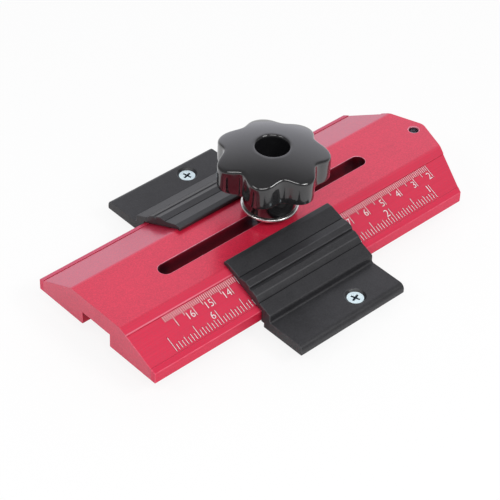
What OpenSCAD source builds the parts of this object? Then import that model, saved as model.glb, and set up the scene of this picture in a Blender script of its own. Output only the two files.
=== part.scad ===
// Thin rip jig: a sliding arm with a bearing in its nose, guided by two brackets on a mitre bar.
// The origin is on the clamp bolt's axis, at the underside of the bar.
// X runs along the arm to its nose, Y along the bar to the back, and Z up.

/* [Arm] */
// Distance from the bolt's axis back to the arm's square end
arm_tail = 96.25; // [90:0.25:120]
// Distance from the bolt's axis forward to the rim of the nose bearing, the ruler's zero
arm_reach = 96.25; // [90:0.25:120]
// Width of the arm
arm_w = 75; // [72:1:90]
// Height of the arm
arm_h = 15; // [14:0.5:18]
// Width of the arm's flat top
arm_top_w = 32; // [30:1:34]
// Height of the arm's upright sides
arm_side_h = 5.3; // [4:0.1:6]
// Width of the narrow rim at the foot of each slope
arm_rim_w = 2.6; // [2:0.1:4]
// Rise of that rim
arm_rim_rise = 1; // [0.5:0.1:1.5]
// Distance from the edge of the flat top out to the shallow field on each slope
field_out = 3.7; // [2:0.1:6]
// Depth of those fields
field_deep = 0.25; // [0.1:0.05:0.5]
// Width of the slot for the bolt
slot_w = 6.8; // [6.4:0.1:8]
// Distance from the bolt's axis back to the slot's rear end
slot_tail = 62.05; // [40:0.25:70]
// Distance from the bolt's axis forward to the slot's front end
slot_reach = 57.05; // [40:0.25:70]
// Width of the channel in the arm's underside
channel_w = 17.7; // [16:0.1:20]
// Depth of that channel
channel_deep = 6.5; // [6.4:0.1:7]
// Distance by which the bearing stands out past the nose
nose_back = 0.5; // [0.2:0.1:1]
// Distance from the nose's tip back to its corners
nose_sweep = 13.6; // [8:0.1:20]
// Radius of the nose's tip
nose_r = 5; // [2:0.5:10]
// Width of the bevel at the mouth of the nose's hole
nose_hole_bevel = 0.5; // [0.2:0.1:0.8]

/* [Brackets] */
// Length of each bracket
bracket_l = 60; // [50:1:90]
// Distance from the bolt's axis back to the brackets' square ends
bracket_tail = 39; // [30:0.5:45]
// Gap all round the arm inside the brackets
guide_gap = 0.35; // [0.3:0.05:0.5]
// Distance by which each bracket's lip reaches in over the arm's flat top
lip_over = 2; // [1.5:0.1:2.4]
// Thickness of the lips
lip_t = 1.85; // [1.5:0.05:2]
// Width of the flat on top of each lip
lip_flat = 3; // [2:0.1:4]
// Distance from the arm's side in to the start of the ledge on a bracket's back
ledge_reach = 13.7; // [13:0.1:15]
// Width of that ledge
ledge_w = 3.7; // [2:0.1:4]
// Depth of the ledge below the top of the lip
ledge_drop = 2.45; // [2:0.05:2.6]
// Slope in degrees of the bracket's back below the ledge
back_slope = 28; // [26:1:30]
// Distance from the arm's side in to the foot of that slope
back_reach = 3.35; // [3:0.05:4]
// Width of the small groove in that slope
groove_w = 1.6; // [1:0.1:2]
// Depth of the small groove
groove_deep = 0.6; // [0.3:0.1:0.8]
// Run of the steep step under that slope
step_run = 2.1; // [1.5:0.1:2.4]
// Drop of the steep step
step_drop = 2.3; // [2:0.1:2.5]
// Slope in degrees of the bracket's shoulder
shoulder_slope = 22.5; // [18:0.5:24]
// Radius of the shoulder's outer edge
shoulder_r = 1.2; // [0.5:0.1:1.5]
// Thickness of the bracket's wall beside the arm
wall_t = 5.15; // [4.5:0.05:7]
// Width of the flange outside the wall
flange_w = 19.5; // [17:0.5:26]
// Thickness of the flange
flange_t = 4.7; // [4.4:0.1:6]
// Distance by which the flange reaches below the arm
flange_drop = 2.2; // [2:0.1:2.4]
// Radius in the corner between the wall and the flange
flange_fillet = 1; // [0.5:0.1:2]
// Radius of the flange's outer top edge
flange_r = 2.7; // [1:0.1:3]
// Radius of the flange's outer bottom edge
flange_foot_r = 0.6; // [0.3:0.1:1]
// Width of the relief under the wall
relief_w = 1.6; // [1:0.1:2.5]

/* [Mitre bar] */
// Width of the bar
bar_w = 19; // [17:0.05:19.05]
// Thickness of the bar
bar_t = 9.5; // [8:0.1:9.5]
// Distance by which the bar ends inside the flanges' outer edges
bar_inset = 4.5; // [3:0.1:6]
// Size of the lead-in bevels under the bar's ends
bar_bevel = 2.5; // [1:0.1:4]
// Gap between the bar and the arm above it
bar_arm_gap = 0.3; // [0.2:0.05:0.5]
// Gap at each side of the bar in the flanges' grooves
bar_side_gap = 0.1; // [0.05:0.05:0.2]
// Gap at the ends of the bar in those grooves
bar_end_gap = 0.5; // [0.3:0.1:1]

/* [Bracket screws] */
// Diameter of the screws' thread
screw_d = 3.9; // [3:0.1:4]
// Diameter of the screws' heads
screw_head_d = 7.5; // [7:0.1:7.8]
// Length of the screws, heads included
screw_l = 10; // [7:0.5:11]
// Diameter of the countersink where it meets the flange's top
sink_d = 9.6; // [9:0.1:9.8]
// Gap between a head and its countersink, measured outward
screw_seat_gap = 0.05; // [0.02:0.01:0.1]
// Clearance on the diameter where a screw passes a flange
screw_free = 0.5; // [0.3:0.1:0.8]
// Distance from the bracket's wall to the middle of the screws
screw_out = 11; // [9:0.5:12]
// Length of each arm of the cross recess
cross_l = 4.3; // [3:0.1:5]
// Width of each arm of the cross recess
cross_w = 0.95; // [0.6:0.05:1.2]
// Depth of the cross recess
cross_deep = 1.4; // [0.8:0.1:1.6]

/* [Clamp bolt] */
// Diameter of the bolt's thread
bolt_d = 5.9; // [5.5:0.1:6]
// Length of the bolt under its head
bolt_l = 40; // [38:1:44]
// Width across the flats of the bolt's head and nut
hex_w = 10; // [9.5:0.5:11]
// Height of the bolt's head
bolt_head_h = 4; // [3:0.1:4.5]
// Distance from the bar's underside to the bolt's head
bolt_head_up = 0.2; // [0.1:0.1:0.5]
// Clearance on the width of the pocket for the head
pocket_free = 0.2; // [0.1:0.1:0.4]
// Clearance on the diameter where the bolt passes the bar
bolt_free = 0.5; // [0.3:0.1:0.8]
// Height of the bolt's nut
nut_h = 3.2; // [2.5:0.1:4]
// Clearance on the diameter between two threads
thread_free = 0.1; // [0.06:0.02:0.16]

/* [Clamp knob] */
// Distance from the arm's top up to the washer
washer_up = 3.4; // [3:0.1:5]
// Diameter of the washer
washer_d = 25.2; // [22:0.1:26]
// Thickness of the washer
washer_t = 1.4; // [1.2:0.1:2]
// Play between the washer and the knob, up and down and round the spigot
washer_play = 0.1; // [0.08:0.01:0.15]
// Depth of the recess for the insert's lip, under the washer
lip_recess = 0.8; // [0.7:0.05:0.9]
// Diameter of the insert's spigot
spigot_d = 9; // [8.5:0.1:9.5]
// Width of the rolled lip on the spigot
spigot_lip = 0.8; // [0.5:0.1:1]
// Thickness of that lip
spigot_lip_t = 0.5; // [0.4:0.05:0.55]
// Diameter of the insert
insert_d = 12; // [11.5:0.1:14]
// Diameter of the knob's hub
hub_d = 23.6; // [20:0.1:24.4]
// Height of the hub under the head
hub_h = 15.1; // [12:0.1:18]
// Number of lobes
lobes = 7; // [5:1:9]
// Distance from the axis to the tops of the lobes
lobe_out = 24.95; // [23:0.05:27]
// Distance from the axis to the valleys between them
valley_out = 20.45; // [19:0.05:21]
// How much broader the lobes are than the valleys
lobe_soft = 0.16; // [0:0.02:0.3]
// Turn in degrees of the first lobe from the X axis
lobe_turn = 9; // [0:1:50]
// Height of the head at its middle, the hole left out
head_h = 15.8; // [14:0.1:18]
// Radius of the head's domed top
dome_r = 65; // [55:1:120]
// Diameter of the hole in the head
well_d = 15; // [13:0.1:17]
// Width of the bevel at the hole's mouth
well_bevel = 0.6; // [0.3:0.1:1]
// Height of the web of the knob over the insert
insert_cover = 0.2; // [0.1:0.1:0.5]

/* [Nose bearing] */
// Outer diameter of the bearing
bearing_d = 13; // [12:0.5:14]
// Bore of the bearing
bearing_bore = 4; // [3.5:0.1:4]
// Width of the bearing
bearing_t = 5; // [4.6:0.1:5]
// Outer diameter of the inner ring
inner_d = 7.2; // [7:0.1:7.4]
// Inner diameter of the outer ring
outer_in_d = 10; // [9.8:0.1:10]
// Number of balls
balls = 7; // [5:1:8]
// Diameter of the balls
ball_d = 2.38; // [2:0.02:2.4]
// Gap between a ball and what surrounds it
ball_gap = 0.1; // [0.05:0.01:0.12]
// Height of the cage
cage_h = 3.4; // [3.2:0.1:3.5]
// Thickness of the cage
cage_t = 0.8; // [0.6:0.1:0.8]
// Thickness of the shields
shield_t = 0.25; // [0.2:0.05:0.3]
// Depth of the seat of each shield in the outer ring
shield_seat = 0.35; // [0.2:0.05:0.4]
// Gap between a shield and the inner ring
shield_gap = 0.15; // [0.1:0.05:0.2]
// Distance from a shield's outer face into the bearing
shield_in = 0.1; // [0.05:0.05:0.2]
// Thickness of the spacer above the bearing
spacer_t = 0.6; // [0.5:0.1:0.6]
// Thickness of the washer under the bearing
low_washer_t = 0.5; // [0.3:0.1:0.6]
// Outer diameter of the spacer and of the washer
spacer_d = 6.4; // [6:0.1:6.8]
// Diameter of the bearing screw's thread
pin_d = 3.9; // [3.5:0.1:3.95]
// Length of the bearing screw under its head
pin_l = 12; // [9:0.5:13]
// Diameter of the bearing screw's head
pin_head_d = 7; // [6:0.1:7.5]
// Height of the bearing screw's head
pin_head_h = 1.6; // [1.2:0.1:1.7]
// Width across the flats of its socket
socket_w = 2.5; // [2:0.5:2.5]
// Depth of its socket
socket_deep = 1; // [0.6:0.1:1]

/* [Hidden] */
$fn = 96;
// Length by which a cut runs past the face that it opens
past = 1;

// The arm's heights and half widths
arm_z = bar_t + bar_arm_gap;
arm_top_z = arm_z + arm_h;
arm_half = arm_w / 2;
top_half = arm_top_w / 2;
foot_half = arm_half - arm_rim_w;
foot_h = arm_side_h + arm_rim_rise;
field_top = top_half + field_out;
slope = (arm_h - foot_h) / (foot_half - top_half);
roof_z = arm_z + channel_deep;
bearing_x = arm_reach - bearing_d / 2;
nose_x = arm_reach - nose_back;

// The brackets' outline, as distances out from the arm's middle and heights over its underside
guide_rise = guide_gap / cos(atan(slope));
lip_in = top_half - lip_over;
lip_top = arm_h + guide_gap + lip_t;
ledge_in = arm_half - ledge_reach;
back_foot = arm_half - back_reach;
ledge_h = lip_top - ledge_drop;
ledge_out = ledge_in + ledge_w;
back_h = ledge_h - (back_foot - ledge_out) * tan(back_slope);
groove_mid = (ledge_out + back_foot) / 2;
step_foot = back_foot + step_run;
step_h = back_h - step_drop;
wall_in = arm_half + guide_gap;
wall_out = wall_in + wall_t;
shoulder_h = step_h - (wall_out - step_foot) * tan(shoulder_slope);
flange_top = flange_t - flange_drop;
flange_out = wall_out + flange_w;
flange_top_z = arm_z + flange_top;

// The bar, the screws and the bolt
bar_half = flange_out - bar_inset;
screw_y = wall_out + screw_out;
screw_hole_d = screw_d + screw_free;
sink_deep = (sink_d - screw_hole_d) / 2;
screw_top_z = flange_top_z - (sink_d - screw_head_d) / 2 + screw_seat_gap;
head_top_z = bolt_head_up + bolt_head_h;
bolt_tip = 0.6;

// The knob, from the washer up
washer_z = arm_top_z + washer_up;
washer_hole_d = spigot_d + 2 * washer_play;
recess_d = spigot_d + 2 * spigot_lip + 4 * washer_play;
hub_z = washer_z + washer_t + washer_play;
head_z = hub_z + hub_h;
insert_top_z = head_z - insert_cover;
lip_z = washer_z + lip_recess - washer_play - spigot_lip_t;
lobe_depth = (lobe_out - valley_out) / 2;
lobe_sides = 18;

// The bearing, down from the channel's roof
bearing_top_z = roof_z - spacer_t;
bearing_z = bearing_top_z - bearing_t;
bearing_mid_z = bearing_z + bearing_t / 2;
ball_mid = (inner_d + outer_in_d) / 4;
track_r = ball_d / 2 + ball_gap;
pin_head_z = bearing_z - low_washer_t;
shield_in_d = inner_d + 2 * shield_gap;
shield_out_d = outer_in_d + 2 * shield_seat;

// Height of the arm's slope at a distance out from its middle
function slope_h(out) = arm_h - (out - top_half) * slope;

function unit(v) = v / norm(v);

// Points of an arc that rounds the corner b of the path a, b, c
function rounded(a, b, c, r, steps = 6) =
    let (
        u = unit(a - b),
        w = unit(c - b),
        half = acos(u * w) / 2,
        middle = b + unit(u + w) * r / sin(half),
        from = b + u * r / tan(half) - middle,
        to = b + w * r / tan(half) - middle,
        turn = 180 - 2 * half
    )
    [for (i = [0 : steps])
        middle + (from * sin(turn * (1 - i / steps)) + to * sin(turn * i / steps)) / sin(turn)];

// A solid along X of an outline drawn in Y and Z
module along_x(start, length) {
    translate([start, 0, 0])
        rotate([90, 0, 90])
            linear_extrude(length)
                children();
}

module ring(outer, inner, height) {
    difference() {
        cylinder(d = outer, h = height);
        translate([0, 0, -past])
            cylinder(d = inner, h = height + 2 * past);
    }
}

module hex(width, height) {
    cylinder(d = width / cos(30), h = height, $fn = 6);
}

// The arm's section; each slope has a shallow field, and the ruler is on the front one
module arm_section() {
    back = [
        [top_half, arm_h],
        [field_top, slope_h(field_top)],
        [field_top, slope_h(field_top) - field_deep],
        [foot_half, foot_h - field_deep],
        [foot_half, foot_h],
        [arm_half, arm_side_h],
        [arm_half, 0]
    ];
    polygon(concat(back, [for (i = [len(back) - 1 : -1 : 0]) [-back[i][0], back[i][1]]]));
}

// The arm's outline from above, square at its tail and pointed at its nose
module arm_plan() {
    tilt = atan(nose_sweep / arm_half);
    tip = [nose_x + nose_r * (1 / cos(tilt) - 1), 0];
    corner = [nose_x - nose_sweep, arm_half];
    beyond = [0, past];
    polygon(concat(
        [[-arm_tail, arm_half] + beyond, corner + beyond],
        rounded(corner, tip, [corner[0], -corner[1]], nose_r),
        [[corner[0], -corner[1]] - beyond, [-arm_tail, -arm_half] - beyond]
    ));
}

module slot_cut() {
    slot_half = slot_w / 2;
    depth = arm_h - channel_deep + 2 * past;
    translate([0, 0, roof_z - past]) {
        translate([slot_half - slot_tail, -slot_half, 0])
            cube([slot_tail + slot_reach - slot_w, slot_w, depth]);
        for (x = [slot_half - slot_tail, slot_reach - slot_half])
            translate([x, 0, 0])
                cylinder(r = slot_half, h = depth);
    }
}

module nose_hole() {
    hole_d = pin_d + thread_free;
    translate([bearing_x, 0, 0]) {
        translate([0, 0, roof_z - past])
            cylinder(d = hole_d, h = arm_h);
        translate([0, 0, arm_top_z - nose_hole_bevel])
            cylinder(d1 = hole_d, d2 = hole_d + 4 * nose_hole_bevel, h = 2 * nose_hole_bevel);
    }
}

module slide_arm() {
    color([0.84, 0.16, 0.27])
    difference() {
        intersection() {
            translate([0, 0, arm_z])
                along_x(-arm_tail, arm_tail + arm_reach)
                    arm_section();
            linear_extrude(arm_top_z + past)
                arm_plan();
        }
        translate([-arm_tail - past, -channel_w / 2, arm_z - past])
            cube([arm_tail + arm_reach + 2 * past, channel_w, channel_deep + past]);
        slot_cut();
        nose_hole();
    }
}

// One bracket's section, from the lip's underside over the back and the flange to the guide
module bracket_section() {
    groove_half = groove_w / 2;
    lip_edge = [lip_in, lip_top];
    lip_end = [lip_in + lip_flat, lip_top];
    ledge_start = [ledge_in, ledge_h];
    shoulder = [wall_out, shoulder_h];
    wall_foot = [wall_out, flange_top];
    flange_edge = [flange_out, flange_top];
    flange_foot = [flange_out, -flange_drop];
    flange_heel = [wall_in + relief_w, -flange_drop];
    polygon(concat(
        [[lip_in, arm_h + guide_gap]],
        rounded([lip_in, arm_h], lip_edge, lip_end, lip_t / 3, 4),
        rounded(lip_edge, lip_end, ledge_start, lip_t / 2, 3),
        [
            ledge_start,
            [ledge_out, ledge_h],
            [groove_mid - groove_half, ledge_h - (groove_mid - groove_half - ledge_out) * tan(back_slope)],
            [groove_mid - groove_half, back_h + (back_foot - groove_mid) * tan(back_slope) - groove_deep],
            [groove_mid + groove_half, back_h + (back_foot - groove_mid) * tan(back_slope) - groove_deep],
            [groove_mid + groove_half, back_h + (back_foot - groove_mid - groove_half) * tan(back_slope)],
            [back_foot, back_h],
            [step_foot, step_h]
        ],
        rounded([step_foot, step_h], shoulder, wall_foot, shoulder_r),
        rounded(shoulder, wall_foot, flange_edge, flange_fillet),
        rounded(wall_foot, flange_edge, flange_foot, flange_r, 8),
        rounded(flange_edge, flange_foot, flange_heel, flange_foot_r, 4),
        [
            flange_heel,
            [wall_in + relief_w, 0],
            [wall_in, 0],
            [wall_in, arm_side_h + guide_gap],
            [foot_half, foot_h + guide_rise],
            [top_half, arm_h + guide_gap]
        ]
    ));
}

module bracket() {
    difference() {
        translate([0, 0, arm_z])
            along_x(-bracket_tail, bracket_l)
                bracket_section();
        translate([-bar_w / 2 - bar_side_gap, arm_half, bar_t - flange_t])
            cube([bar_w + 2 * bar_side_gap, bar_half + bar_end_gap - arm_half, flange_t]);
        translate([0, screw_y, 0]) {
            cylinder(d = screw_hole_d, h = flange_top_z + past);
            translate([0, 0, flange_top_z - sink_deep])
                cylinder(d1 = screw_hole_d, d2 = sink_d + 2 * past, h = sink_deep + past);
        }
    }
}

module front_bracket() {
    color([0.13, 0.13, 0.14])
    mirror([0, 1, 0])
        bracket();
}

module rear_bracket() {
    color([0.13, 0.13, 0.14])
    bracket();
}

module mitre_bar() {
    color([0.72, 0.73, 0.75])
    difference() {
        along_x(-bar_w / 2, bar_w)
            polygon([
                [-bar_half + bar_bevel, 0],
                [bar_half - bar_bevel, 0],
                [bar_half, bar_bevel],
                [bar_half, bar_t],
                [-bar_half, bar_t],
                [-bar_half, bar_bevel]
            ]);
        translate([0, 0, -past]) {
            cylinder(d = bolt_d + bolt_free, h = bar_t + 2 * past);
            hex(hex_w + pocket_free, head_top_z + past);
            for (y = [-screw_y, screw_y])
                translate([0, y, 0])
                    cylinder(d = screw_d + thread_free, h = bar_t + 2 * past);
        }
    }
}

// A countersunk screw, its head's top at the height where the countersink holds it
module bracket_screw() {
    cone_h = (screw_head_d - screw_d) / 2;
    color([0.82, 0.87, 0.9])
    translate([0, screw_y, screw_top_z])
        difference() {
            union() {
                translate([0, 0, -cone_h])
                    cylinder(d1 = screw_d, d2 = screw_head_d, h = cone_h);
                translate([0, 0, -screw_l])
                    cylinder(d = screw_d, h = screw_l - cone_h);
            }
            for (turn = [45, 135])
                rotate(turn)
                    translate([-cross_l / 2, -cross_w / 2, -cross_deep])
                        cube([cross_l, cross_w, cross_deep + past]);
        }
}

module front_bracket_screw() {
    mirror([0, 1, 0])
        bracket_screw();
}

module rear_bracket_screw() {
    bracket_screw();
}

module clamp_bolt() {
    color([0.6, 0.62, 0.65])
    union() {
        translate([0, 0, bolt_head_up])
            hex(hex_w, bolt_head_h);
        translate([0, 0, head_top_z])
            cylinder(d = bolt_d, h = bolt_l - bolt_tip);
        translate([0, 0, head_top_z + bolt_l - bolt_tip])
            cylinder(d1 = bolt_d, d2 = bolt_d - 2 * bolt_tip, h = bolt_tip);
    }
}

module bolt_nut() {
    color([0.6, 0.62, 0.65])
    translate([0, 0, bar_t])
        difference() {
            hex(hex_w, nut_h);
            translate([0, 0, -past])
                cylinder(d = bolt_d + thread_free, h = nut_h + 2 * past);
        }
}

module clamp_washer() {
    color([0.78, 0.79, 0.8])
    translate([0, 0, washer_z])
        difference() {
            ring(washer_d, washer_hole_d, washer_t);
            translate([0, 0, -past])
                cylinder(d = recess_d, h = lip_recess + past);
        }
}

// The knob's threaded bush, with a spigot through the washer and a lip rolled over under it
module knob_insert() {
    color([0.7, 0.71, 0.72])
    difference() {
        union() {
            translate([0, 0, hub_z])
                cylinder(d = insert_d, h = insert_top_z - hub_z);
            translate([0, 0, lip_z])
                cylinder(d = spigot_d, h = hub_z - lip_z);
            translate([0, 0, lip_z])
                cylinder(d = spigot_d + 2 * spigot_lip, h = spigot_lip_t);
        }
        translate([0, 0, lip_z - past])
            cylinder(d = bolt_d + thread_free, h = insert_top_z - lip_z + 2 * past);
    }
}

// Distance from the axis to the head's outline, a wave with one crest to a lobe
function lobed(turn) =
    let (wave = lobes * (turn - lobe_turn))
    (lobe_out + valley_out) / 2 + lobe_depth * cos(wave) + lobe_soft * (1 - cos(2 * wave));

module head_prism() {
    sides = lobes * lobe_sides;
    linear_extrude(head_h)
        polygon([
            for (i = [0 : sides - 1])
                let (turn = 360 * i / sides)
                lobed(turn) * [cos(turn), sin(turn)]
        ]);
}

module clamp_knob() {
    color([0.06, 0.06, 0.07])
    difference() {
        union() {
            translate([0, 0, hub_z])
                cylinder(d = hub_d, h = hub_h);
            intersection() {
                translate([0, 0, head_z])
                    head_prism();
                translate([0, 0, head_z + head_h - dome_r])
                    sphere(r = dome_r);
            }
        }
        translate([0, 0, hub_z - past])
            cylinder(d = insert_d, h = insert_top_z - hub_z + past);
        translate([0, 0, insert_top_z - past])
            cylinder(d = bolt_d + bolt_free, h = insert_cover + 2 * past);
        translate([0, 0, head_z])
            cylinder(d = well_d, h = head_h + past);
        translate([0, 0, head_z + head_h - 2 * well_bevel])
            cylinder(d1 = well_d, d2 = well_d + 4 * well_bevel, h = 2 * well_bevel);
    }
}

// The path of the balls, as a solid that is cut from both rings
module ball_track() {
    rotate_extrude()
        translate([ball_mid, 0])
            circle(r = track_r);
}

module at_bearing() {
    translate([bearing_x, 0, bearing_mid_z])
        children();
}

module bearing_outer_ring() {
    color([0.75, 0.76, 0.78])
    at_bearing()
        difference() {
            translate([0, 0, -bearing_t / 2])
                ring(bearing_d, outer_in_d, bearing_t);
            ball_track();
            for (side = [-1, 1])
                translate([0, 0, side * bearing_t / 2])
                    cylinder(d = shield_out_d, h = 2 * (shield_t + shield_in), center = true);
        }
}

module bearing_inner_ring() {
    color([0.75, 0.76, 0.78])
    at_bearing()
        difference() {
            translate([0, 0, -bearing_t / 2])
                ring(inner_d, bearing_bore, bearing_t);
            ball_track();
        }
}

module each_ball() {
    for (i = [0 : balls - 1])
        rotate(i * 360 / balls)
            translate([ball_mid, 0, 0])
                children();
}

module bearing_balls() {
    color([0.85, 0.86, 0.88])
    at_bearing()
        each_ball()
            sphere(d = ball_d);
}

module bearing_cage() {
    color([0.7, 0.6, 0.35])
    at_bearing()
        difference() {
            translate([0, 0, -cage_h / 2])
                ring(2 * ball_mid + cage_t, 2 * ball_mid - cage_t, cage_h);
            each_ball()
                rotate([0, 90, 0])
                    cylinder(r = track_r, h = 2 * cage_t, center = true);
        }
}

module bearing_shield() {
    color([0.8, 0.81, 0.82])
        ring(shield_out_d, shield_in_d, shield_t);
}

module upper_bearing_shield() {
    at_bearing()
        translate([0, 0, bearing_t / 2 - shield_in - shield_t])
            bearing_shield();
}

module lower_bearing_shield() {
    at_bearing()
        translate([0, 0, shield_in - bearing_t / 2])
            bearing_shield();
}

module bearing_screw() {
    color([0.55, 0.56, 0.58])
    translate([bearing_x, 0, pin_head_z])
        difference() {
            union() {
                cylinder(d = pin_d, h = pin_l);
                translate([0, 0, -pin_head_h])
                    cylinder(d = pin_head_d, h = pin_head_h);
            }
            translate([0, 0, -pin_head_h - past])
                hex(socket_w, socket_deep + past);
        }
}

module upper_bearing_spacer() {
    color([0.8, 0.81, 0.82])
    translate([bearing_x, 0, bearing_top_z])
        ring(spacer_d, bearing_bore, spacer_t);
}

module lower_bearing_washer() {
    color([0.8, 0.81, 0.82])
    translate([bearing_x, 0, pin_head_z])
        ring(spacer_d, bearing_bore, low_washer_t);
}

slide_arm();
front_bracket();
rear_bracket();
mitre_bar();
front_bracket_screw();
rear_bracket_screw();
clamp_bolt();
bolt_nut();
clamp_washer();
knob_insert();
clamp_knob();
bearing_outer_ring();
bearing_inner_ring();
bearing_balls();
bearing_cage();
upper_bearing_shield();
lower_bearing_shield();
bearing_screw();
upper_bearing_spacer();
lower_bearing_washer();
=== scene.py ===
"""Thin rip jig: a red sliding arm with a ruler and a bearing in its nose, two black guide brackets on a mitre
bar, and a lobed clamp knob. Each operator finishes one piece, or a group of like pieces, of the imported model.
Lengths are in metres."""

import math

import bmesh
import bpy
from mathutils import Matrix, Vector
from mathutils.bvhtree import BVHTree


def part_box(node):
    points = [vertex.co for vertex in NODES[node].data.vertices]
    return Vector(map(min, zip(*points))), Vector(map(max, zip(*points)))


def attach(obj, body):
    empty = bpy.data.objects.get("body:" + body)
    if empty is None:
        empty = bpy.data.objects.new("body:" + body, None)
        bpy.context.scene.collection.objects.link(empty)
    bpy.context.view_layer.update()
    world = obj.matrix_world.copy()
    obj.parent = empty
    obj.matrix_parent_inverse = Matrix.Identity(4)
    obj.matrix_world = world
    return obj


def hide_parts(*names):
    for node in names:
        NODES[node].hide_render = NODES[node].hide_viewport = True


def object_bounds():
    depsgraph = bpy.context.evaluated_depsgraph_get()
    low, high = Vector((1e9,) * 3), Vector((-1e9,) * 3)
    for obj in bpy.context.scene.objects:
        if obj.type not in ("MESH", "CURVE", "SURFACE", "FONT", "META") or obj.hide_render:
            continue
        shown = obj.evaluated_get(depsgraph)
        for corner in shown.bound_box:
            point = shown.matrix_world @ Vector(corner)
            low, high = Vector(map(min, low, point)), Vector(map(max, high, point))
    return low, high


bl_info = {
    "name": "Thin Rip Jig",
    "version": (1, 0, 0),
    "blender": (4, 5, 0),
    "location": "View3D > Sidebar > Rip Jig",
    "description": "Finishes the pieces of a thin rip jig around its packed model",
    "category": "Add Mesh",
}

MM = 0.001
INCH = 0.0254
X_AXIS = Vector((1, 0, 0))

# Edges that turn less than the first look smooth, and those that turn more than the second look crisp
SMOOTH_TURN = math.radians(14)
SHARP_TURN = math.radians(48)

# The least length of a ridge, and the most that a rounding takes of a face beside it
RIDGE_LENGTH = 4 * MM
ROOM_SHARE = 0.4

# Turned and formed metal is rounded at edges that turn more than this, in degrees
TURNED_CREASE = 35
SHIELD_EDGE = 0.06 * MM
SPACER_EDGE = 0.1 * MM

# A Mix node's two colour inputs and its colour output, by place
MIX_COLOURS = (6, 7)
MIX_RESULT = 2

# How streaks are stretched when they run along the arm, or along the bar
ALONG_ARM = (0.01, 1.0, 1.0)
ALONG_BAR = (1.0, 0.012, 1.0)

# The arm's section: the slot, the painted highlight line above the ruler's field, and the rim below the field
SLOT_HALF = 3.6 * MM
SLOT_TAIL = -63 * MM
STEP_OUT = 19.5 * MM
STEP_HEIGHT = 22.9 * MM
RIM_OUT = 34.9 * MM

# Fine lines in the corners, as (distance from the middle, height), and their width and depth
ARM_LINES = ((19.8 * MM, 22.82 * MM), (34.8 * MM, 15.86 * MM))
ARM_LINE_SIZE = (0.34 * MM, 0.24 * MM)
BRACKET_LINES = ((23.8 * MM, 24.55 * MM), (36.25 * MM, 18.71 * MM))
BRACKET_LINE_SIZE = (0.6 * MM, 0.6 * MM)

# How far the lines reach that stand every so many millimetres, or sixteenths of an inch, longest first
CM_LINES = {10: 6.15 * MM, 5: 3.8 * MM, 1: 2.35 * MM}
INCH_LINES = {16: 6.3 * MM, 8: 5.25 * MM, 4: 3.45 * MM, 2: 3.1 * MM, 1: 2.6 * MM}
CM_NUMERAL_GAP = 0.62 * MM
INCH_NUMERAL_GAP = 1.05 * MM
INCH_NUMERAL_RISE = 3.3 * MM
NUMERAL_WIDTH = 0.94

# How far the screws' crosses are turned, in degrees, and how far below the head's top painted shade starts in
# them
SCREW_TURNS = {"front_bracket_screw": -27, "rear_bracket_screw": -32}
SCREW_SHADE_DEPTH = 0.15 * MM

# The bolt's thread, and its head with the distance of its flats from the axis
BOLT_CREST = 2.95 * MM
BOLT_ROOT = 2.4 * MM
BOLT_PITCH = 1 * MM
BOLT_FLATS = 5 * MM
BOLT_HEAD = 4.2 * MM

# How much of the floor glows where it's seen, which keeps it white
FLOOR_GLOW = 0.88

# The back wall's light: its direction, where it starts and is full, and its cool tint on the jig
WALL_WAY = (0.74, 0.65, 0.15)
WALL_FACING = (0.4, 0.95)
WALL_TINT = (0.9, 0.9, 0.97)
SKY_TINT = (1.0, 0.985, 1.0)

# The soft boxes: name, turn round the jig in degrees, rise, width and share of the power
LAMPS = (
    ("middle_box", 0, 0.87, 0.6, 0.41),
    ("left_box", -54, 0.6, 0.4, 0.21),
    ("right_box", 56, 0.6, 0.4, 0.5),
)
LAMP_HEIGHT = 0.3
LAMP_DISTANCE = 1.15

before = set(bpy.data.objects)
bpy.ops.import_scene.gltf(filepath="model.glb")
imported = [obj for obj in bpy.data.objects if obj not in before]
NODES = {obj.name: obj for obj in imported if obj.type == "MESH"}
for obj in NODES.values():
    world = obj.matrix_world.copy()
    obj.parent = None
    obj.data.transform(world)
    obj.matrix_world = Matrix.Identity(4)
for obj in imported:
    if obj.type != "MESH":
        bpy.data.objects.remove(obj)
CAD_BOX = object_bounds()


def colour(name, description, default):
    """A colour setting, in linear light."""
    return bpy.props.FloatVectorProperty(
        name=name, description=description, subtype="COLOR", size=3, min=0, max=1, default=default
    )


def length(name, description, default):
    """A length setting, in metres."""
    return bpy.props.FloatProperty(
        name=name, description=description, subtype="DISTANCE", unit="LENGTH",
        min=0, default=default, precision=5,
    )


def number(name, description, default, least=0.0):
    """A plain number setting."""
    return bpy.props.FloatProperty(name=name, description=description, min=least, default=default)


class JigColours(bpy.types.PropertyGroup):
    """Colours of the jig's finishes"""

    arm_red: colour("Arm", "Red dye in the arm's oxide layer", (0.64, 0.016, 0.05))
    bracket_black: colour("Brackets", "Black dye in the brackets' oxide layer", (0.019, 0.019, 0.021))
    knob_black: colour("Knob", "Moulded plastic of the knob", (0.009, 0.009, 0.01))
    bar_aluminium: colour("Bar", "Bare aluminium of the mitre bar", (0.78, 0.79, 0.8))
    zinc: colour("Zinc plate", "Pale blue zinc on the screws, bolt and nut", (0.78, 0.93, 1.0))
    steel: colour("Steel", "Bright steel of the washer and the bearing", (0.74, 0.73, 0.72))
    brass: colour("Brass", "Pressed brass of the bearing's cage", (0.7, 0.5, 0.22))
    print_white: colour("Ruler print", "Laser marks on the ruler", (0.9, 0.72, 0.76))
    scorch: colour("Ruler border", "Darker border that the laser leaves round each mark", (0.3, 0.007, 0.024))
    floor: colour("Floor", "Pale floor under the jig", (0.94, 0.94, 0.94))


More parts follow.
